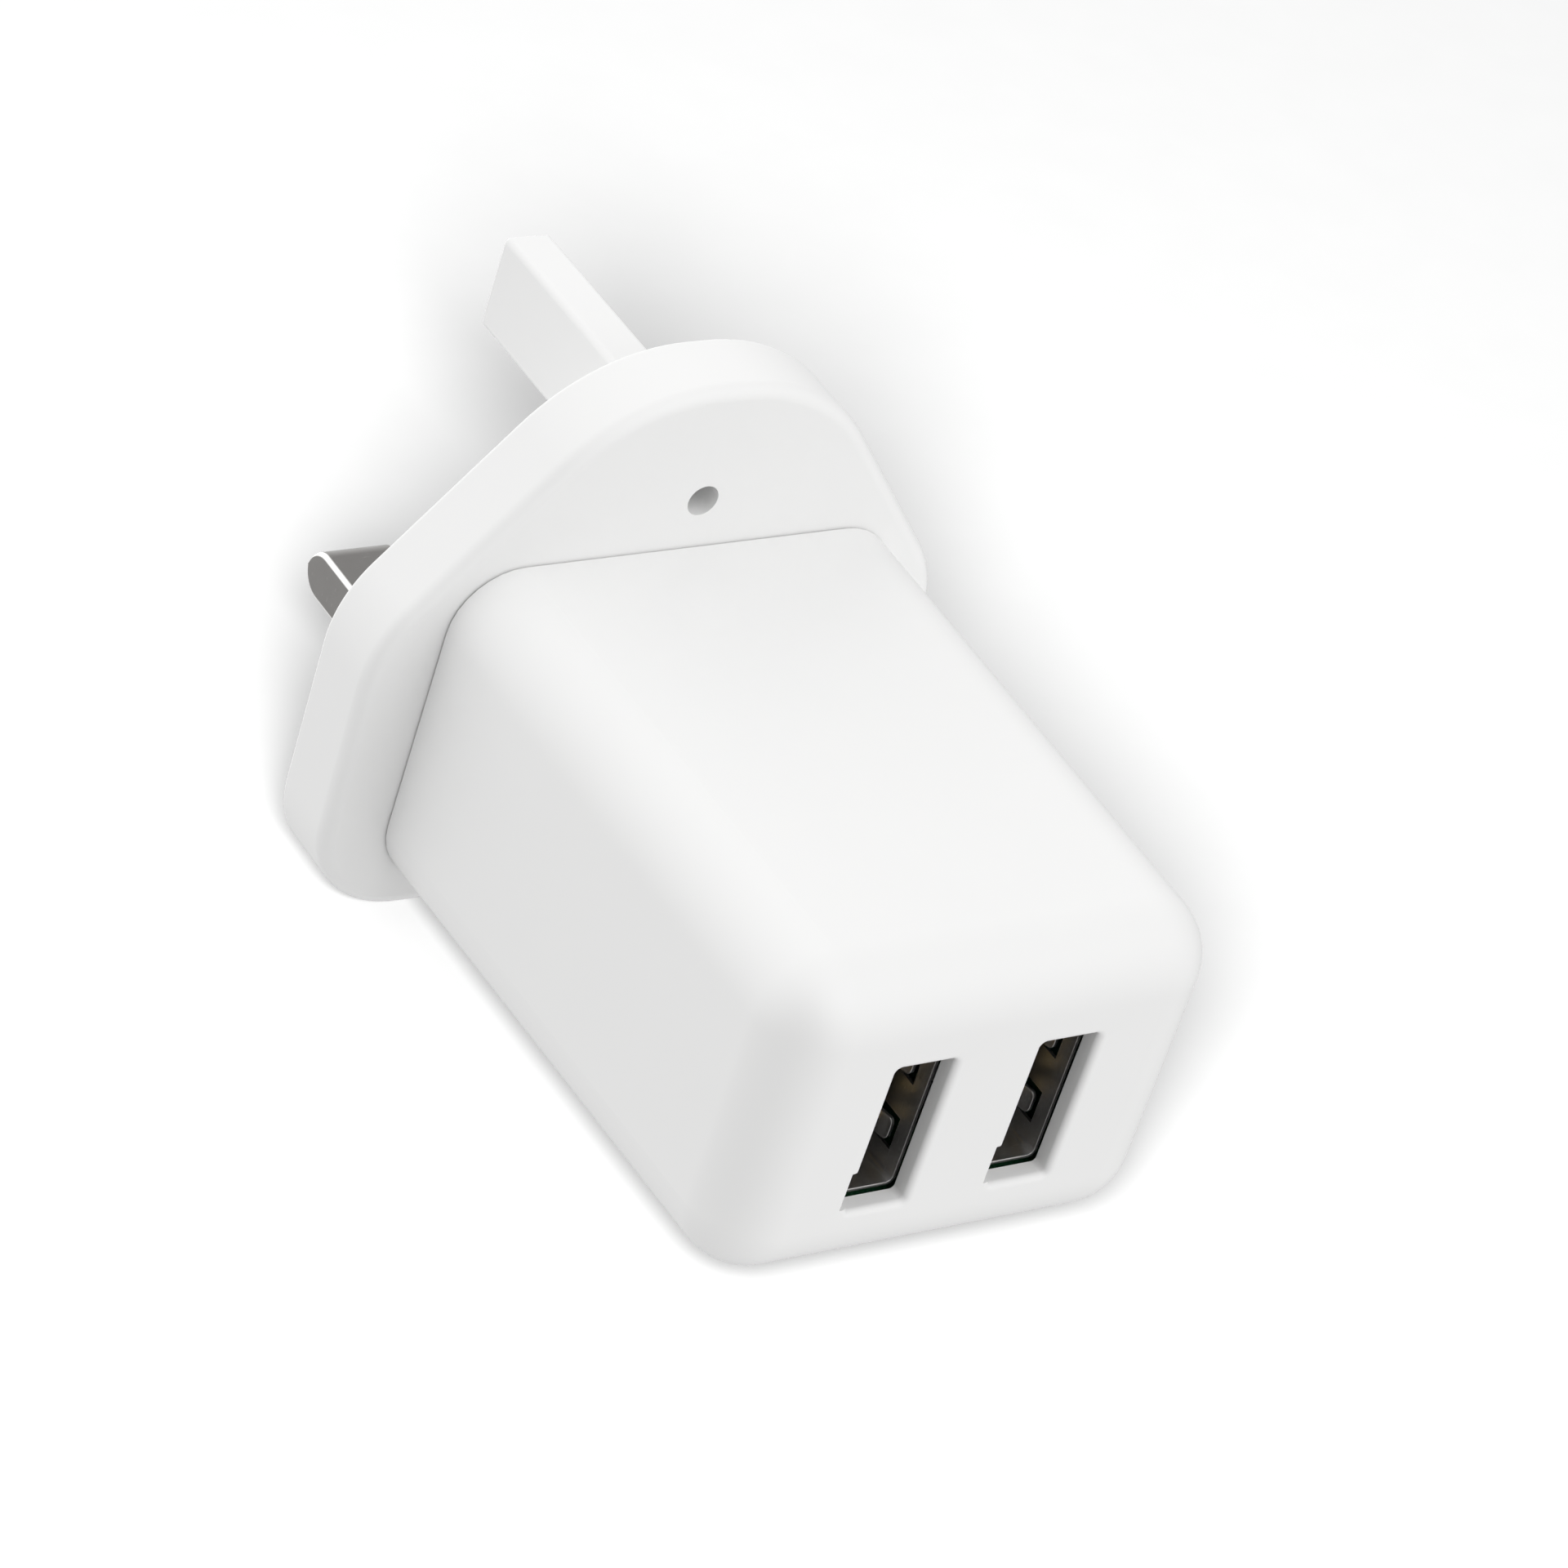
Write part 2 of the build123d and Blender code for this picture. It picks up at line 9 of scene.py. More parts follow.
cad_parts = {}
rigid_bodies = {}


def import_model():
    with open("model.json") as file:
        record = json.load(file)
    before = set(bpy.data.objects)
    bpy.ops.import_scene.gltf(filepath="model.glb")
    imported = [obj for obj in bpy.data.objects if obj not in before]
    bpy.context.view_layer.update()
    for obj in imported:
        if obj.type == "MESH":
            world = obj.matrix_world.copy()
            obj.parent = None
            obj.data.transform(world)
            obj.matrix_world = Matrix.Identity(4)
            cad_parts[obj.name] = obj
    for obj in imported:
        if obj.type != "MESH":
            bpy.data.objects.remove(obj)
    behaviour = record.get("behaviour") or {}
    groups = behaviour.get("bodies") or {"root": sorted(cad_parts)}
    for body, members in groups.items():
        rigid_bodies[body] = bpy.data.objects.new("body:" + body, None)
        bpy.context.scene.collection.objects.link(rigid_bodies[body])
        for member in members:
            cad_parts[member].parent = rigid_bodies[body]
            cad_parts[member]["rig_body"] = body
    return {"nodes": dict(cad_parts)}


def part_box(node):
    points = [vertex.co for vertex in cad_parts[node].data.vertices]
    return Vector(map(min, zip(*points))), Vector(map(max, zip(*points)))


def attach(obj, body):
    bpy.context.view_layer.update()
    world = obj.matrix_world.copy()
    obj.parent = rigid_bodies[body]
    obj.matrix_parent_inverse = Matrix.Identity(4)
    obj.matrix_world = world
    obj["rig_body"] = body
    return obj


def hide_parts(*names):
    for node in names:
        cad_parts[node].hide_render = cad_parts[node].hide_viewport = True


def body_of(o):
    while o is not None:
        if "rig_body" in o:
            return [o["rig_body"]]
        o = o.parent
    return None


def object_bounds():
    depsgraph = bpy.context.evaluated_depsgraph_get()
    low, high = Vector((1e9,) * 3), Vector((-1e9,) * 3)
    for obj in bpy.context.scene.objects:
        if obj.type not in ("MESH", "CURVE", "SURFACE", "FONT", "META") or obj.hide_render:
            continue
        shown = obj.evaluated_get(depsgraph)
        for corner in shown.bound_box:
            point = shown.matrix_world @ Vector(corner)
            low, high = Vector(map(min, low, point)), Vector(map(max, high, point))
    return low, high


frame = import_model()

cad_low, cad_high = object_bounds()
mm = 0.001

# ---------------------------------------------------------------------------
# Camera: a long lens looks down on the ports' end from the left, rolled so that the charger
# lies slantwise in the square frame.

lens_length = 148.035
sensor_width = 36.0
camera_place = Vector((-0.260355, -0.306627, 0.272714))
camera_azimuth = math.radians(42.7177)
camera_fall = math.radians(34.3858)
camera_roll = math.radians(19.1175)

camera_data = bpy.data.cameras.new("camera")
camera_data.sensor_width = sensor_width
camera_data.lens = lens_length
camera_data.clip_start = 0.01
camera_data.clip_end = 50.0
camera = bpy.data.objects.new("camera", camera_data)
bpy.context.scene.collection.objects.link(camera)
camera_turn = Matrix.Rotation(-camera_azimuth, 4, "Z")
camera_turn @= Matrix.Rotation(math.pi / 2 - camera_fall, 4, "X")
camera_turn @= Matrix.Rotation(camera_roll, 4, "Z")
camera.matrix_world = Matrix.Translation(camera_place) @ camera_turn
bpy.context.scene.camera = camera
bpy.context.scene.view_settings.view_transform = "Standard"

# ---------------------------------------------------------------------------
# Floor: a sheet of plain paper, lit white by a wide lamp round the camera's lens, as strong far
# off as near by, which leaves a soft pale shadow all round the charger.


class Signal:
    """One socket's value on its way through a node tree: arithmetic on it adds Math nodes. A
    Signal with no socket only knows its tree, and starts the wiring there."""

    def __init__(self, tree, socket=None):
        self.tree = tree
        self.socket = socket

    def node(self, kind, settings=None, inputs=None, output=0):
        """Any node: its settings come first, then its sockets get their values or links."""
        made = self.tree.nodes.new(kind)
        for name, value in (settings or {}).items():
            setattr(made, name, value)
        for name, value in (inputs or {}).items():
            socket = self.pick(made.inputs, name)
            if isinstance(value, Signal):
                self.tree.links.new(value.socket, socket)
            else:
                socket.default_value = value
        return Signal(self.tree, self.pick(made.outputs, output))

    @staticmethod
    def pick(sockets, name):
        """A socket by its number, or by its name among those that the node's settings leave in use."""
        if isinstance(name, int):
            return sockets[name]
        return next(s for s in sockets if s.name == name and not s.is_unavailable)

    def maths(self, operation, *values):
        """A Math node on the given numbers or signals."""
        return self.node("ShaderNodeMath", {"operation": operation}, dict(enumerate(values)))

    def feed(self, socket):
        """Link this value to a socket of a node that is already there."""
        self.tree.links.new(self.socket, socket)

    def __add__(self, other):
        return self.maths("ADD", self, other)

    __radd__ = __add__

    def __sub__(self, other):
        return self.maths("SUBTRACT", self, other)

    def __rsub__(self, other):
        return self.maths("SUBTRACT", other, self)

    def __mul__(self, other):
        return self.maths("MULTIPLY", self, other)

    __rmul__ = __mul__


def finish(name, **constants):
    """New material, its Principled shader with constant sockets set, and a start for its wiring."""
    material = bpy.data.materials.new(name)
    material.use_nodes = True
    shader = material.node_tree.nodes["Principled BSDF"]
    for socket, value in constants.items():
        shader.inputs[socket.replace("_", " ")].default_value = value
    return material, shader, Signal(material.node_tree)


def colour(red, green, blue):
    """Opaque colour in linear light."""
    return (red, green, blue, 1.0)


floor_reach = 3.0
floor_gap = 0.02 * mm
paper_dark = 0.355
paper_pale = 0.365
fibre_scale = 900.0
floor_light = 136.0
floor_lamp_radius = 0.08
floor_corners = np.array([(-1, -1, 0), (1, -1, 0), (1, 1, 0), (-1, 1, 0)]) * floor_reach
floor_corners[:, 2] = cad_low.z - floor_gap
floor_mesh = bpy.data.meshes.new("floor")
floor_mesh.from_pydata(floor_corners.tolist(), [], [(0, 1, 2, 3)])
floor = bpy.data.objects.new("floor", floor_mesh)
bpy.context.scene.collection.objects.link(floor)
# The tent's lower half lights the charger from below, so the paper itself doesn't.
floor.visible_diffuse = False
floor.visible_glossy = False

paper, paper_shader, wire = finish("floor_paper", Roughness=0.9)
paper_shader.inputs["Specular IOR Level"].default_value = 0.0
fibres = wire.node("ShaderNodeTexNoise", None, {"Scale": fibre_scale, "Detail": 2.0}, "Fac")
paper_tones = [colour(tone, tone, tone) for tone in (paper_dark, paper_pale)]
inputs = {"Factor": fibres, "A": paper_tones[0], "B": paper_tones[1]}
paper_tint = wire.node("ShaderNodeMix", {"data_type": "RGBA"}, inputs, "Result")
paper_tint.feed(paper_shader.inputs["Base Color"])
floor_mesh.materials.append(paper)

floor_lamp_data = bpy.data.lights.new("floor_lamp", "POINT")
floor_lamp_data.energy = floor_light
floor_lamp_data.shadow_soft_size = floor_lamp_radius
floor_lamp_data.use_nodes = True
lamp = Signal(floor_lamp_data.node_tree)
even_light = lamp.node("ShaderNodeLightFalloff", None, {"Strength": 1.0}, "Constant")
even_light.feed(floor_lamp_data.node_tree.nodes["Emission"].inputs["Strength"])
floor_lamp = bpy.data.objects.new("floor_lamp", floor_lamp_data)
bpy.context.scene.collection.objects.link(floor_lamp)
floor_lamp.matrix_world = camera.matrix_world.copy()
floor_only = bpy.data.collections.new("floor_only")
floor_only.objects.link(floor)
floor_lamp.light_linking.receiver_collection = floor_only

# ---------------------------------------------------------------------------
# Light tent: soft white light, strongest from above the ports' end and from the wall's side,
# weaker from the camera's corner, where the opening for the lens takes light away.

tent_base = 0.26
panel_sharpness = 4.0
low_panel_sharpness = 1.5

tent_world = bpy.data.worlds.new("light_tent")
tent_world.use_nodes = True
bpy.context.scene.world = tent_world
sky = Signal(tent_world.node_tree)
direction = sky.node("ShaderNodeTexCoord", output="Generated")


def panel(towards, strength, sharpness=panel_sharpness):
    """One soft panel of the tent: its strength times e to the power of sharpness * (c - 1),
    where c is the cosine to its middle. A negative one takes light away."""
    middle = Vector(towards).normalized()
    inputs = {0: direction, 1: middle}
    cosine = sky.node("ShaderNodeVectorMath", {"operation": "DOT_PRODUCT"}, inputs, "Value")
    return sky.maths("EXPONENT", (cosine - 1.0) * sharpness) * strength


tent = (
    tent_base
    + panel((0, 0, 1), -0.02)
    + panel((0, -0.8, 0.6), 2.25)
    + panel((-0.7, 0, 0.7), 0.76)
    + panel((-1, 0, 0.1), 1.0)
    + panel((0, 1, 0.15), 1.6)
    + panel((-0.25, -0.6, -0.76), 1.1, low_panel_sharpness)
    + panel((-0.7, -0.7, 0.15), -2.1)
    + panel((-0.5, -0.5, 0.7), -0.3)
)
tent = sky.maths("MAXIMUM", tent, 0.0)
background = tent_world.node_tree.nodes["Background"]
background.inputs["Color"].default_value = colour(1.0, 1.0, 1.0)
tent.feed(background.inputs["Strength"])

# ---------------------------------------------------------------------------
# Flange: moulded in white plastic, the pear-shaped plate that carries the pins. Its front edge
# is rounded, and a cored hole in its front keeps the wall over the earth pin thin.


nodes = frame["nodes"]


def noise(place, scale, detail=2.0, roughness=0.5):
    """Even noise round 0.5, with so many features per metre."""
    inputs = {"Vector": place, "Scale": scale, "Detail": detail, "Roughness": roughness}
    return place.node("ShaderNodeTexNoise", None, inputs, "Fac")


def blend(factor, low_colour, high_colour):
    """From one colour at factor 0 to another at 1."""
    inputs = {"Factor": factor, "A": low_colour, "B": high_colour}
    return factor.node("ShaderNodeMix", {"data_type": "RGBA"}, inputs, "Result")


def shade(tint, depth):
    """A darker version of a colour."""
    return tuple(depth * channel for channel in tint[:3]) + (1.0,)


def moulded(name, tint, gloss_roughness, grain=0.004 * mm, relief=0.3):
    """Injection-moulded plastic: cloudy flow marks, and the fine grain of a spark-eroded mould
    that breaks up the gloss."""
    material, shader, wire = finish(name)
    shader.inputs["Specular IOR Level"].default_value = 0.45
    place = wire.node("ShaderNodeTexCoord", output="Object")
    flow = noise(place, scale=110.0, detail=3.0)
    sparks = noise(place, scale=4200.0, detail=3.0, roughness=0.6)
    blend(flow, shade(tint, 0.985), tint).feed(shader.inputs["Base Color"])
    rough = gloss_roughness + 0.08 * (flow - 0.5) + 0.12 * (sparks - 0.5)
    rough.feed(shader.inputs["Roughness"])
    inputs = {"Strength": relief, "Distance": grain, "Height": sparks}
    wire.node("ShaderNodeBump", None, inputs, "Normal").feed(shader.inputs["Normal"])
    return material


def dress(node, material):
    """A part that keeps its own shape: its material, and smooth shading up to its edges."""
    part = nodes[node]
    part.data.materials.clear()
    part.data.materials.append(material)
    part.data.polygons.foreach_set("use_smooth", np.ones(len(part.data.polygons), bool))
    part.modifiers.new("weld", "WELD").merge_threshold = 0.001 * mm
    part.modifiers.new("edges", "EDGE_SPLIT").split_angle = math.radians(25)
    part.modifiers.new("flats", "WEIGHTED_NORMAL").weight = 100


white_plastic = moulded("white_plastic", colour(0.855, 0.855, 0.851), 0.36)
dress("flange_housing", white_plastic)

# ---------------------------------------------------------------------------
# Rear plate: the flat white moulding on the socket side, let into the back of the flange. The
# line pins and the earth pin come out through its slots, and it holds their heads in place.

dress("pin_plate", white_plastic)

# ---------------------------------------------------------------------------
# Line pins: drawn brass blades with a half-elliptical nose, nickel plated. Their long edges
# carry a painted highlight, a pale band in the colour; the flats stay dull and faintly scratched.

plate_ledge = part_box("live_pin_sleeve")[0].y
pin_head_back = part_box("live_pin")[0].y
pin_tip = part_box("live_pin")[1].y
sleeve_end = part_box("live_pin_sleeve")[1].y
blade_low, blade_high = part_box("live_pin_sleeve")
blade_width = blade_high.x - blade_low.x
blade_height = blade_high.z - blade_low.z
blade_edge = 0.36 * mm
nose_length = 2.0 * mm
nose_rows = 15
nose_end = 0.9995
waist_depth = 0.5 * mm
waist_edge = 0.2 * mm
head_margin = 1.0 * mm
head_edge = 0.6 * mm
head_ease = 0.2 * mm
corner_steps = 8
merge_distance = 0.0005 * mm


def rounded_loops(y, width, height, corner, x=0.0, z=0.0, cuts=(0.5,)):
    """Rounded rectangles across the charger, one row per value of y. Each corner is its centre
    plus the corner radius times (cos, sin); each side between corners is cut at the given
    fractions of its length. Returns (rows, points, 3) and each point's place along its corner
    arc, from 0 at its ends to 1 at its middle."""
    y, width, height, corner, x, z = np.broadcast_arrays(np.atleast_1d(y), width, height, corner, x, z)
    turn = np.radians(90 * np.arange(4)[:, None] + np.linspace(0, 90, corner_steps + 1))
    radius = corner[:, None, None]
    arc_x = np.array((1, -1, -1, 1))[:, None] * (width[:, None, None] / 2 - radius) + radius * np.cos(turn)
    arc_z = np.array((1, 1, -1, -1))[:, None] * (height[:, None, None] / 2 - radius) + radius * np.sin(turn)
    arcs = np.stack((arc_x, arc_z), -1)
    start = arcs[:, :, -1:]
    end = np.roll(arcs[:, :, :1], -1, axis=1)
    sides = start + (end - start) * np.array(cuts)[:, None]
    flat = np.concatenate((arcs, sides), 2).reshape(len(y), -1, 2)
    loops = np.empty(flat.shape[:2] + (3,))
    loops[..., 0] = flat[..., 0] + x[:, None]
    loops[..., 1] = y[:, None]
    loops[..., 2] = flat[..., 1] + z[:, None]
    arc_place = np.sin(np.linspace(0, np.pi, corner_steps + 1))
    along = np.tile(np.concatenate((arc_place, np.zeros(len(cuts)))), 4)
    return loops, np.broadcast_to(along, loops.shape[:2])


def skin(stack):
    """Quads between neighbouring rows of a stack of closed loops, as corner numbers."""
    rows, points = stack.shape[:2]
    row = np.arange(rows - 1)[:, None] * points
    point = np.arange(points)
    after = (point + 1) % points
    quads = np.stack((row + point, row + points + point, row + points + after, row + after), -1)
    return quads.reshape(-1, 4)


def cap(loop):
    """Flat end: the loop drawn in to its middle point in two steps."""
    middle = loop.mean(axis=0)
    scales = np.array((1.0, 0.6, 0.0))
    return middle + (loop - middle) * scales[:, None, None]


def build(name, stacks, material, body, marks=None, sharp=35, outward=True):
    """One object from stacks of loops: coincident points are merged, faces turned outwards and
    edges sharper than an angle kept crisp."""
    faces = []
    corners = 0
    for stack in stacks:
        faces.append(skin(stack) + corners)
        corners += stack.shape[0] * stack.shape[1]
    mesh = bpy.data.meshes.new(name)
    points = np.concatenate([stack.reshape(-1, 3) for stack in stacks])
    mesh.from_pydata(points.tolist(), [], np.concatenate(faces).tolist())
    if marks is not None:
        # Marks per point: the line pins' painted edge highlight.
        layer = mesh.attributes.new("painted_edge_highlight", "FLOAT", "POINT")
        values = np.concatenate([np.ravel(mark) for mark in marks]).astype(np.float32)
        layer.data.foreach_set("value", values)
    return settle(name, mesh, material, body, sharp, outward)


def settle(name, mesh, material, body, sharp=35, outward=True):
    """Merge coincident points, turn the faces outwards and shade the mesh; it rides on a body."""
    shape = bmesh.new()
    shape.from_mesh(mesh)
    bmesh.ops.remove_doubles(shape, verts=shape.verts, dist=merge_distance)
    bmesh.ops.dissolve_degenerate(shape, edges=shape.edges, dist=merge_distance / 5)
    if outward:
        bmesh.ops.recalc_face_normals(shape, faces=shape.faces)
    shape.to_mesh(mesh)
    shape.free()
    mesh.shade_smooth()
    mesh.set_sharp_from_angle(angle=math.radians(sharp))
    mesh.materials.append(material)
    piece = bpy.data.objects.new(name, mesh)
    bpy.context.scene.collection.objects.link(piece)
    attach(piece, body)
    return piece


def even_flats(piece):
    """Shade the flats as flats: larger faces decide the normals along their rounded edges."""
    flats = piece.modifiers.new("flats", "WEIGHTED_NORMAL")
    flats.weight = 100
    flats.keep_sharp = True


def plated(name, tint, highlight_tint, gloss_roughness, with_painted_highlight=False):
    """Plated metal: drawing marks along the part, clouded tarnish, a few fine scratches, and where
    the painted edge highlight is marked, a paler base colour and a smoother skin: a painted highlight."""
    material, shader, wire = finish(name, Metallic=1.0)
    place = wire.node("ShaderNodeTexCoord", output="Object")
    tarnish = noise(place, scale=650.0, detail=4.0, roughness=0.65)
    inputs = {"Vector": place, "Scale": (1500.0, 90.0, 1500.0)}
    stretched = wire.node("ShaderNodeMapping", None, inputs, "Vector")
    drawn = noise(stretched, scale=2.0, detail=3.0)
    inputs = {"Vector": place, "Scale": (700.0, 2600.0, 700.0), "Rotation": (0.4, 0.2, 0.7)}
    slanted = wire.node("ShaderNodeMapping", None, inputs, "Vector")
    scratches = wire.maths("GREATER_THAN", noise(slanted, scale=2.0, detail=1.0), 0.71)
    face = blend(tarnish, shade(tint, 0.82), tint)
    face = blend(scratches * 0.35, face, shade(tint, 1.35))
    rough = gloss_roughness + 0.14 * (drawn - 0.5) + 0.18 * (tarnish - 0.5)
    # Painted highlight: the marked band gets a pale base colour that stands for light caught on the edges.
    if with_painted_highlight:
        painted_highlight = wire.node("ShaderNodeAttribute", {"attribute_name": "painted_edge_highlight"}, None, "Fac")
        painted_highlight = wire.maths("SMOOTH_MIN", painted_highlight * 1.6, 1.0, 0.1)
        face = blend(painted_highlight, face, highlight_tint)
        rough = rough * (1.0 - 0.45 * painted_highlight)
    face.feed(shader.inputs["Base Color"])
    rough.feed(shader.inputs["Roughness"])
    inputs = {"Strength": 0.25, "Distance": 0.004 * mm, "Height": drawn + 0.5 * tarnish}
    wire.node("ShaderNodeBump", None, inputs, "Normal").feed(shader.inputs["Normal"])
    return material


# The second, pale colour is the painted edge highlight on the pins' long edges.
pin_nickel = plated(
    "nickel_on_brass", colour(0.25, 0.243, 0.235), colour(0.97, 0.96, 0.94), 0.34, with_painted_highlight=True
)


def line_pin(name):
    """Head, waist, blade and nose as rows of rounded rectangles from the head to the tip. In
    the nose the height follows half an ellipse: height times the root of 1 - (place / length)^2."""
    low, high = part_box(name)
    middle_x = (low.x + high.x) / 2
    nose = np.sin(np.linspace(0, np.pi / 2, nose_rows))
    nose_y = pin_tip - nose_length + nose_length * nose
    nose_height = blade_height * np.sqrt(1 - np.minimum(nose, nose_end) ** 2)
    head_y = [pin_head_back, pin_head_back + head_ease, plate_ledge]
    waist_y = [plate_ledge, sleeve_end]
    row_y = np.concatenate((head_y, waist_y, [sleeve_end], nose_y))
    grown = np.zeros(len(row_y))
    grown[:3] = head_margin
    grown[0] -= head_ease
    grown[3:5] = -waist_depth
    width = blade_width + 2 * grown
    height = np.concatenate((np.full(6, blade_height), nose_height)) + 2 * grown
    edge = np.minimum(blade_edge, height * 0.48)
    edge[:3] = head_edge
    edge[3:5] = waist_edge
    loops, arc_place = rounded_loops(row_y, width, height, edge, middle_x)
    # Painted highlight band: the rounded long edges of the blade and nose, in front of the sleeve.
    painted_highlight = arc_place * (row_y >= sleeve_end)[:, None]
    stacks = [cap(loops[0]), loops, cap(loops[-1])]
    marks = [np.zeros(stacks[0].shape[:2]), painted_highlight, np.zeros(stacks[2].shape[:2])]
    piece = build(name + "_blade", stacks, pin_nickel, body_of(nodes[name])[0], marks)
    even_flats(piece)
    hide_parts(name)


for pin in ("live_pin", "neutral_pin"):
    line_pin(pin)

# ---------------------------------------------------------------------------
# Pin sleeves: white insulation moulded into the waist of each line pin, flush with the blade,
# so that a finger can't touch live metal while the plug is only part of the way in.

sleeve_plastic = moulded("sleeve_plastic", colour(0.82, 0.82, 0.815), 0.45)
sleeve_bore = waist_depth - 0.01 * mm
sleeve_edge = 0.3 * mm
sleeve_ease = 0.06 * mm


def pin_sleeve(name):
    """A tube of rounded rectangles: outside along the sleeve, over its end, and back inside."""
    low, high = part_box(name)
    rows_y = np.array([low.y, low.y + sleeve_ease, high.y - sleeve_ease, high.y, high.y, low.y, low.y])
    inset = np.array([sleeve_ease, 0, 0, sleeve_ease, sleeve_bore, sleeve_bore, sleeve_ease])
    width = blade_width - 2 * inset
    height = blade_height - 2 * inset
    edge = np.where(inset < sleeve_bore, sleeve_edge, waist_edge)
    loops, _ = rounded_loops(rows_y, width, height, edge, (low.x + high.x) / 2)
    piece = build(name + "_tube", [loops], sleeve_plastic, body_of(nodes[name])[0])
    even_flats(piece)
    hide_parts(name)


for pin in ("live_pin", "neutral_pin"):
    pin_sleeve(pin + "_sleeve")

# ---------------------------------------------------------------------------
# Earth pin: a solid white plastic blade that only opens the socket's shutters, with a tapered
# tip, a head held behind the plate, and a blind hole cored from the front.

earth_low, earth_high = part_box("earth_pin")
earth_rise = 22.2 * mm
earth_width = 4.0 * mm
earth_height = 8.0 * mm
earth_edge = 0.55 * mm
earth_head_width = 9.2 * mm
earth_head_edge = 1.0 * mm
earth_taper_length = 0.95 * mm
earth_taper_inset = 0.5 * mm
earth_tip_round = 0.35 * mm
earth_tip_edge = 0.42 * mm
earth_core = 2.6 * mm
earth_core_depth = 9.0 * mm


def earth_pin():
    """Rows of rounded rectangles from the head to the tip, whose last edge is rolled over on a
    quarter circle, closed by the front ring round the hole, its wall and its floor."""
    head_low = earth_rise - earth_height / 2
    head_height = earth_high.z - head_low
    head_z = (earth_high.z + head_low) / 2
    roll = np.radians(np.linspace(0, 90, 7))
    tip_y = earth_high.y - earth_tip_round + earth_tip_round * np.sin(roll)
    tip_inset = earth_taper_inset + earth_tip_round * (1 - np.cos(roll))
    taper_start = earth_high.y - earth_taper_length
    row_y = np.concatenate(([earth_low.y, plate_ledge, plate_ledge, taper_start], tip_y))
    width = np.concatenate(([earth_head_width] * 2, [earth_width] * 2, earth_width - 2 * tip_inset))
    height = np.concatenate(([head_height] * 2, [earth_height] * 2, earth_height - 2 * tip_inset))
    edge = np.concatenate(([earth_head_edge] * 2, [earth_edge] * 2, np.full(len(roll), earth_tip_edge)))
    middle = np.concatenate(([head_z] * 2, np.full(2 + len(roll), earth_rise)))
    blade, _ = rounded_loops(row_y, width, height, edge, 0.0, middle)
    hole_y = [earth_low.y, earth_low.y + earth_core_depth]
    hole_radius = earth_core / 2 - merge_distance * 2
    hole, _ = rounded_loops(hole_y, earth_core, earth_core, hole_radius, 0.0, earth_rise)
    front = np.stack((blade[0], hole[0]))
    stacks = [blade, cap(blade[-1]), front, hole, cap(hole[-1])]
    body = body_of(nodes["earth_pin"])[0]
    piece = build("earth_pin_blade", stacks, white_plastic, body)
    even_flats(piece)
    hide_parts("earth_pin")


earth_pin()

# ---------------------------------------------------------------------------
# Body: one white moulding, drafted towards the front, with rounded edges, a fine rebate where it
# meets the flange, a spigot glued inside the flange, and a rounded window before each port.

body_low, body_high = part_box("body_shell")
body_width = body_high.x - body_low.x
body_height = body_high.z - body_low.z
body_middle_z = (body_high.z + body_low.z) / 2
spigot_length = 2.8 * mm
body_root = body_high.y - spigot_length
body_length = body_root - body_low.y
body_draft = 0.5 * mm
body_corner = 5.3 * mm
front_round = 5.2 * mm
body_wall = 2.0 * mm
front_wall = 1.6 * mm
seam_depth = 0.3 * mm
seam_width = 0.15 * mm
spigot_inset = 1.0 * mm
round_rows = 25
mouth_rows = 13
window_width = 5.1 * mm
window_height = 13.2 * mm
window_corner = 0.4 * mm
window_round = 0.55 * mm
window_offset = 6.23 * mm
window_shift = -0.055 * mm
window_rise = 3.26 * mm
notch_width = 0.7 * mm
notch_height = 3.85 * mm
notch_step = 0.0005
notch_top = 1 - (notch_height - window_corner) / (window_height - 2 * window_corner)
window_cuts = (0.5, notch_top - notch_step, notch_top + notch_step, 1 - notch_step)
rail_inner = 15.6 * mm
rail_outer = 17.8 * mm
rail_height = 1.0 * mm
rail_edge = 0.1 * mm
rail_end_gap = 4.0 * mm


def outline(y, inset, rounding):
    """The body's outline, moved inwards, with the part of the draft that belongs to each y. Only
    the inset and the front rounding make its corners smaller."""
    y, inset, rounding = np.broadcast_arrays(np.asarray(y, float), inset, rounding)
    draft = body_draft * np.clip((body_root - y) / body_length, 0, 1)
    width = body_width - 2 * (inset + rounding + draft)
    height = body_height - 2 * (inset + rounding + draft)
    corner = body_corner - inset - rounding
    return rounded_loops(y, width, height, corner, 0.0, body_middle_z, window_cuts)[0]


def rounded_front(face_y, radius, inset):
    """Rows of the quarter circle between a flat front and the sides: depth r (1 - cos t) behind
    the front, inset r (1 - sin t)."""
    turn = np.linspace(0, np.pi / 2, round_rows)
    return outline(face_y + radius * (1 - np.cos(turn)), inset, radius * (1 - np.sin(turn)))


def window_loops(middle_x, y, offset):
    """A window's outline grown by an offset, with the straight-sided notch in its left side."""
    width = window_width + 2 * offset
    height = window_height + 2 * offset
    corner = window_corner + offset
    loops, _ = rounded_loops(y, width, height, corner, middle_x, window_rise, window_cuts)
    notch = loops.shape[1] // 4 + corner_steps + np.array((3, 4))
    loops[:, notch, 0] = middle_x - window_width / 2 - notch_width
    return loops


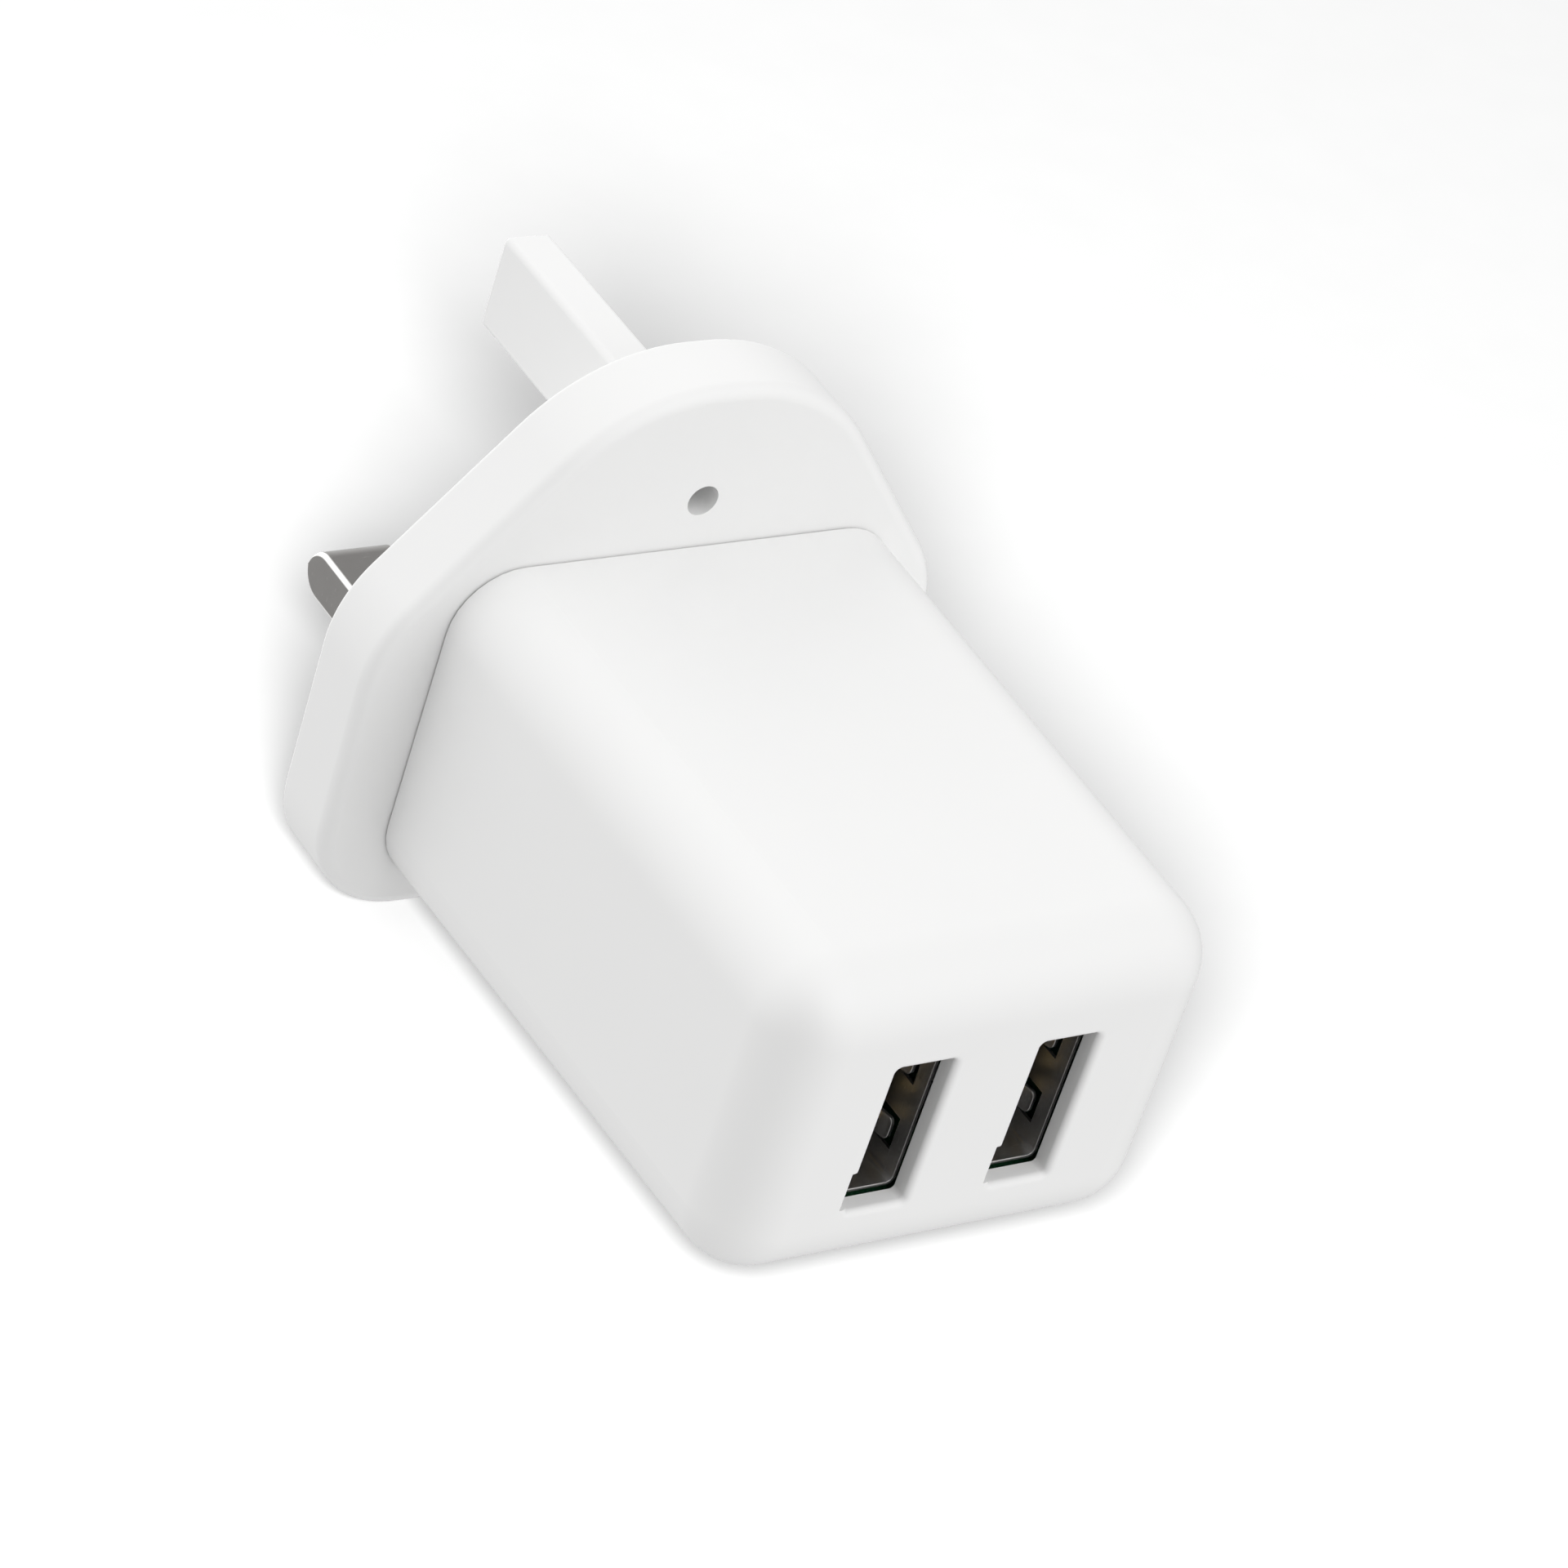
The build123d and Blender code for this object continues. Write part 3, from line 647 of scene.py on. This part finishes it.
def windowed_face(edge, windows):
    """Flat face between the outline and two windows: each window is joined, point for point, to
    half of the outline and to a line down the middle, whose points lie level with its own."""
    half = len(edge) // 2
    cells = []
    for window, start in zip(windows, (corner_steps + 1, corner_steps + 1 + half)):
        around = np.roll(edge, -start, axis=0)
        inner = np.roll(window, -start, axis=0)
        share = (inner[half:, 2] - inner[half, 2]) / (inner[0, 2] - inner[half, 2])
        share = 0.95 * share + 0.05 * np.arange(half) / half
        down = around[half] + (around[0] - around[half]) * share[1:, None]
        outer = np.concatenate((around[: half + 1], down))
        fractions = np.array((0.0, 0.5, 1.0))
        cells.append(inner + (outer - inner) * fractions[:, None, None])
    return cells


def board_rail(side):
    """Square rib along the cavity's side wall, on which the board lies."""
    board_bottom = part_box("main_board")[0].z
    front = body_low.y + front_wall + rail_end_gap
    rows_y = [front, body_root - rail_end_gap]
    middle_x = side * (rail_inner + rail_outer) / 2
    width = rail_outer - rail_inner
    middle_z = board_bottom - rail_height / 2
    rail, _ = rounded_loops(rows_y, width, rail_height, rail_edge, middle_x, middle_z)
    return [cap(rail[0]), rail, cap(rail[-1])]


def body_moulding():
    """Front rounding, sides, rebate, spigot and cavity as rows of outlines; then the windows'
    rounded mouths and walls, the two windowed faces, and the board's rails."""
    outside = rounded_front(body_low.y, front_round, 0.0)
    cavity = rounded_front(body_low.y + front_wall, front_round - body_wall, body_wall)
    seam_y = body_root - seam_width
    steps_y = np.array([seam_y, seam_y, body_root, body_root, body_high.y, body_high.y, body_root])
    steps_in = np.array([0, seam_depth, seam_depth, spigot_inset, spigot_inset, body_wall, body_wall])
    skin_rows = np.concatenate((outside, outline(steps_y, steps_in, 0.0), cavity[::-1]))
    turn = np.linspace(0, np.pi / 2, mouth_rows)
    mouth_y = body_low.y + window_round * (1 - np.cos(turn))
    rows_y = np.append(mouth_y, body_low.y + front_wall)
    offset = np.append(window_round * (1 - np.sin(turn)), 0.0)
    windows = [window_loops(side * window_offset + window_shift, rows_y, offset) for side in (-1, 1)]
    stacks = [skin_rows] + windows
    stacks += windowed_face(skin_rows[0], [window[0] for window in windows])
    stacks += windowed_face(skin_rows[-1], [window[-1] for window in windows])
    stacks += board_rail(-1) + board_rail(1)
    piece = build("body_moulding", stacks, white_plastic, body_of(nodes["body_shell"])[0])
    even_flats(piece)
    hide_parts("body_shell")


body_moulding()

# ---------------------------------------------------------------------------
# Port shells: nickel-plated steel sheet, stamped with two retention springs in each broad wall,
# folded into a box round the tongue and soldered to the board by two legs.

shell_steel = plated("nickel_on_steel", colour(0.74, 0.73, 0.72), colour(0.8, 0.8, 0.8), 0.34)
shell_height = 13.1 * mm
shell_corner = 0.75 * mm
sheet = 0.3 * mm
sheet_edge = 0.05 * mm
spring_rise = 3.0 * mm
spring_half = 0.975 * mm
spring_tip = 1.75 * mm
spring_crown = 3.4 * mm
spring_root = 7.5 * mm
spring_bulge = 0.5 * mm
spring_tip_corner = 0.55 * mm
spring_tip_lift = 0.6
spring_tip_rows = 7
spring_rows = 19
slot_half = 1.425 * mm
slot_front = 1.3 * mm
leg_start = 8.2 * mm
leg_length = 2.0 * mm


def sheet_patch(x, y, z, side):
    """Open grid of sheet metal, its rows along the port and its columns up the wall, facing
    away from the port's middle on the given side."""
    grid = np.stack(np.broadcast_arrays(x, y, z), -1)
    rows, columns = grid.shape[:2]
    row = np.arange(rows - 1)[:, None] * columns
    column = np.arange(columns - 1)
    near = row + column
    far = near + columns
    quads = np.stack((near, far, far + 1, near + 1), -1).reshape(-1, 4)
    return grid.reshape(-1, 3), quads if side > 0 else quads[:, ::-1]


def smooth_rise(place):
    """From 0 to 1 with level ends: 3 t^2 - 2 t^3."""
    place = np.clip(place, 0, 1)
    return place**2 * (3 - 2 * place)


def spring_grid():
    """One retention spring, from its root to its free end: how far along the port each row is,
    how far it bows inwards (most at the crown, less at the tip) and its half width, which
    follows a quarter circle at each corner of the tip."""
    turn = np.linspace(0, np.pi / 2, spring_tip_rows)
    tip_rows = spring_tip + spring_tip_corner * (1 - np.cos(turn))
    rows = np.concatenate((tip_rows, np.linspace(tip_rows[-1], spring_root, spring_rows)[1:]))
    half = np.full(len(rows), spring_half)
    half[:spring_tip_rows] -= spring_tip_corner * (1 - np.sin(turn))
    fall = smooth_rise((spring_root - rows) / (spring_root - spring_crown))
    lift = smooth_rise((spring_crown - rows) / (spring_crown - spring_tip))
    return rows[:, None], (spring_bulge * (fall - spring_tip_lift * lift))[:, None], half[:, None]


def port_shell(name):
    """The folded box without its slots, then its springs and legs, all as the sheet's outer
    face; a Solidify modifier gives the sheet its thickness inwards, a Bevel its edges."""
    low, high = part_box(name)
    width = high.x - low.x
    straight = shell_height - 2 * shell_corner
    middle_x = (low.x + high.x) / 2
    middle_z = high.z - shell_height / 2
    slot_edges = np.add.outer((spring_rise, -spring_rise), (slot_half, -slot_half)).ravel()
    cuts = 0.5 - slot_edges / straight
    rows_y = np.array([low.y, low.y + slot_front, low.y + spring_root, high.y])
    tube, _ = rounded_loops(rows_y, width, shell_height, shell_corner, middle_x, middle_z, cuts)
    points = tube.shape[1]
    quads = skin(tube).reshape(len(rows_y) - 1, points, 4)
    keep = np.ones(quads.shape[:2], bool)
    for wall in (1, 3):
        wall_start = wall * points // 4 + corner_steps
        keep[1, [wall_start + 1, wall_start + 3]] = False
    patches = [(tube.reshape(-1, 3), quads[keep])]
    along, bow, half = spring_grid()
    leg_y = low.y + leg_start + np.linspace(0, 1, 3)[:, None] * leg_length
    leg_z = np.linspace(low.z, middle_z - straight / 2, 4)
    for side in (-1, 1):
        wall_x = middle_x + side * width / 2
        for rise in (-spring_rise, spring_rise):
            across = middle_z + rise + np.linspace(-1, 1, 9) * half
            patches.append(sheet_patch(wall_x - side * bow, low.y + along, across, side))
        patches.append(sheet_patch(wall_x, leg_y, leg_z, side))
    firsts = np.cumsum([0] + [len(corners) for corners, _ in patches[:-1]])
    corners = np.concatenate([corners for corners, _ in patches])
    faces = np.concatenate([quads + first for (_, quads), first in zip(patches, firsts)])
    mesh = bpy.data.meshes.new(name + "_folded")
    mesh.from_pydata(corners.tolist(), [], faces.tolist())
    piece = settle(name + "_folded", mesh, shell_steel, body_of(nodes[name])[0], 40, outward=False)
    thickness = piece.modifiers.new("sheet", "SOLIDIFY")
    thickness.thickness = sheet
    thickness.offset = -1.0
    thickness.use_even_offset = True
    broken = piece.modifiers.new("broken_edges", "BEVEL")
    broken.width = sheet_edge
    broken.segments = 2
    broken.limit_method = "ANGLE"
    broken.angle_limit = math.radians(50)
    even_flats(piece)
    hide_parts(name)


ports = ("left", "right")
for port in ports:
    port_shell("usb_shell_" + port)

# ---------------------------------------------------------------------------
# Port tongues: black glass-filled nylon, moulded in one with the block that closes the port's
# back, with grooves that the contact fingers give into.

tongue_tint = colour(0.022, 0.022, 0.023)
tongue_nylon = moulded("glass_filled_nylon", tongue_tint, 0.5, grain=0.01 * mm, relief=0.5)
for port in ports:
    dress("usb_tongue_" + port, tongue_nylon)

# ---------------------------------------------------------------------------
# Contact fingers: phosphor bronze strip, stamped and bowed into springs, and gold plated where
# a plug touches them. Their rear ends are held in the block behind the tongue.

finger_gold = plated("gold_on_bronze", colour(0.83, 0.62, 0.30), colour(1.0, 0.8, 0.5), 0.24)
for port in ports:
    dress("usb_contacts_" + port, finger_gold)

# ---------------------------------------------------------------------------
# Contact tails: the rear ends of the fingers' strips, bent down behind the block and through
# the board, and tinned to take solder.

tail_tin = plated("tin_on_bronze", colour(0.66, 0.66, 0.64), colour(0.9, 0.9, 0.9), 0.42)
for port in ports:
    dress("usb_contact_tails_" + port, tail_tin)

# ---------------------------------------------------------------------------
# Contact strips: stamped and bent from rolled brass sheet, one from each line pin's head to
# the board.

strip_brass = plated("rolled_brass", colour(0.72, 0.52, 0.24), colour(0.9, 0.75, 0.45), 0.33)
for line in ("live", "neutral"):
    dress(line + "_contact_strip", strip_brass)

# ---------------------------------------------------------------------------
# Main board: woven glass laminate under green solder resist. It lies on the two rails along
# the body's side walls.

thread_scale = 650.0


def laminate():
    """Two crossed sets of threads, lighter where both are up, seen through a green lacquer."""
    material, shader, wire = finish("lacquered_laminate", Coat_Weight=0.5, Coat_Roughness=0.2)
    place = wire.node("ShaderNodeTexCoord", output="Object")
    threads = []
    for along in ("X", "Z"):
        settings = {"wave_type": "BANDS", "bands_direction": along}
        inputs = {"Vector": place, "Scale": thread_scale}
        threads.append(wire.node("ShaderNodeTexWave", settings, inputs, "Fac"))
    weave = threads[0] * threads[1]
    cloud = noise(place, scale=260.0)
    tint = blend(weave * 0.6 + cloud * 0.3, colour(0.006, 0.05, 0.02), colour(0.02, 0.12, 0.045))
    tint.feed(shader.inputs["Base Color"])
    (0.38 + 0.15 * cloud).feed(shader.inputs["Roughness"])
    inputs = {"Strength": 0.3, "Distance": 0.02 * mm, "Height": weave}
    wire.node("ShaderNodeBump", None, inputs, "Normal").feed(shader.inputs["Normal"])
    return material


dress("main_board", laminate())

# ---------------------------------------------------------------------------
# Transformer core: two pressed and sintered ferrite halves, ground flat where they meet and
# glued together round the bobbin.


def fired(name, tint, gloss_roughness, grain_scale=1800.0):
    """Sintered, dipped or cast body: fine pits and paler specks in an even ground."""
    material, shader, wire = finish(name)
    place = wire.node("ShaderNodeTexCoord", output="Object")
    pits = noise(place, grain_scale, detail=4.0, roughness=0.7)
    specks = wire.maths("GREATER_THAN", noise(place, grain_scale * 2, detail=1.0), 0.68)
    tone = pits * 0.7 + specks * 0.3
    blend(tone, shade(tint, 0.7), shade(tint, 1.6)).feed(shader.inputs["Base Color"])
    (gloss_roughness + 0.2 * (pits - 0.5)).feed(shader.inputs["Roughness"])
    inputs = {"Strength": 0.5, "Distance": 0.02 * mm, "Height": pits}
    wire.node("ShaderNodeBump", None, inputs, "Normal").feed(shader.inputs["Normal"])
    return material


dress("transformer_core", fired("sintered_ferrite", colour(0.035, 0.033, 0.036), 0.55))

# ---------------------------------------------------------------------------
# Transformer bobbin: black moulded phenolic resin, a square tube between two cheeks round the
# core's middle limb, with a rail under each cheek that stands on the board.

phenolic_tint = colour(0.025, 0.022, 0.02)
phenolic = moulded("phenolic_resin", phenolic_tint, 0.42, grain=0.008 * mm, relief=0.4)
dress("transformer_bobbin", phenolic)

# ---------------------------------------------------------------------------
# Transformer winding: enamelled wire on the bobbin, under an outer wrap of yellow polyester
# tape, whose layers' edges show.


def wrapped(name, tint, layer_scale):
    """Layers of film: fine bands along the charger, each a little different in tone."""
    material, shader, wire = finish(name, Roughness=0.32)
    place = wire.node("ShaderNodeTexCoord", output="Object")
    settings = {"wave_type": "BANDS", "bands_direction": "Y", "wave_profile": "SAW"}
    inputs = {"Vector": place, "Scale": layer_scale, "Distortion": 0.6}
    layers = wire.node("ShaderNodeTexWave", settings, inputs, "Fac")
    creases = noise(place, scale=420.0, detail=3.0, roughness=0.6)
    tone = layers * 0.5 + creases * 0.5
    blend(tone, shade(tint, 0.72), tint).feed(shader.inputs["Base Color"])
    inputs = {"Strength": 0.4, "Distance": 0.05 * mm, "Height": layers + creases}
    wire.node("ShaderNodeBump", None, inputs, "Normal").feed(shader.inputs["Normal"])
    return material


dress("transformer_winding", wrapped("polyester_tape", colour(0.75, 0.52, 0.03), 90.0))

# ---------------------------------------------------------------------------
# Input capacitors: two aluminium cans in black shrunk film, standing on the board beside the
# transformer, each with a rolled groove near its foot.

sleeve_bands = 30.0
dress("input_capacitors", wrapped("black_sleeve", colour(0.03, 0.03, 0.035), sleeve_bands))

# ---------------------------------------------------------------------------
# Output capacitors: two smaller cans in dark green shrunk film, standing on the board, one on
# the outer side of each port.

dress("output_capacitors", wrapped("green_sleeve", colour(0.01, 0.08, 0.05), sleeve_bands))

# ---------------------------------------------------------------------------
# Filter inductor: wire on a ferrite drum with two flanges, dipped in dark lacquer, standing
# between the contact strips and the transformer.

dress("filter_inductor", fired("lacquered_ferrite", colour(0.03, 0.04, 0.03), 0.4))

# ---------------------------------------------------------------------------
# Fusible resistor: wire wound on a ceramic rod that stands on end, under flameproof grey-blue
# enamel with painted bands.

band_scale = 110.0
band_edge = 0.82


def banded():
    """Enamel with painted bands, at even places along the charger."""
    material, shader, wire = finish("banded_enamel")
    place = wire.node("ShaderNodeTexCoord", output="Object")
    settings = {"wave_type": "BANDS", "bands_direction": "Y"}
    inputs = {"Vector": place, "Scale": band_scale}
    wave = wire.node("ShaderNodeTexWave", settings, inputs, "Fac")
    bands = wire.maths("GREATER_THAN", wave, band_edge)
    runs = noise(place, scale=500.0)
    ground = blend(runs, colour(0.14, 0.2, 0.26), colour(0.18, 0.25, 0.32))
    blend(bands, ground, colour(0.12, 0.05, 0.02)).feed(shader.inputs["Base Color"])
    (0.28 + 0.15 * runs).feed(shader.inputs["Roughness"])
    return material


dress("fusible_resistor", banded())

# ---------------------------------------------------------------------------
# Y capacitor: a ceramic disc on edge between the mains side and the output side, dipped in
# blue epoxy lacquer, on two leads.

dress("y_capacitor", fired("blue_lacquer", colour(0.02, 0.09, 0.3), 0.3, grain_scale=600.0))

# ---------------------------------------------------------------------------
# Semiconductors and chip parts: rectifiers, controllers and the small parts round them, in
# black epoxy, matt from its mould, soldered flat to the underside of the board.

epoxy = fired("moulding_epoxy", colour(0.02, 0.02, 0.021), 0.6)
for chip in ("bridge_rectifier", "power_controller", "output_rectifier", "port_controller", "chip_parts"):
    dress(chip, epoxy)

# ---------------------------------------------------------------------------
# Insulation barrier: a sheet of milky polycarbonate film, cut to shape and stood across the
# body between the mains side and the ports.

dress("insulation_barrier", moulded("polycarbonate_film", colour(0.62, 0.64, 0.64), 0.28))
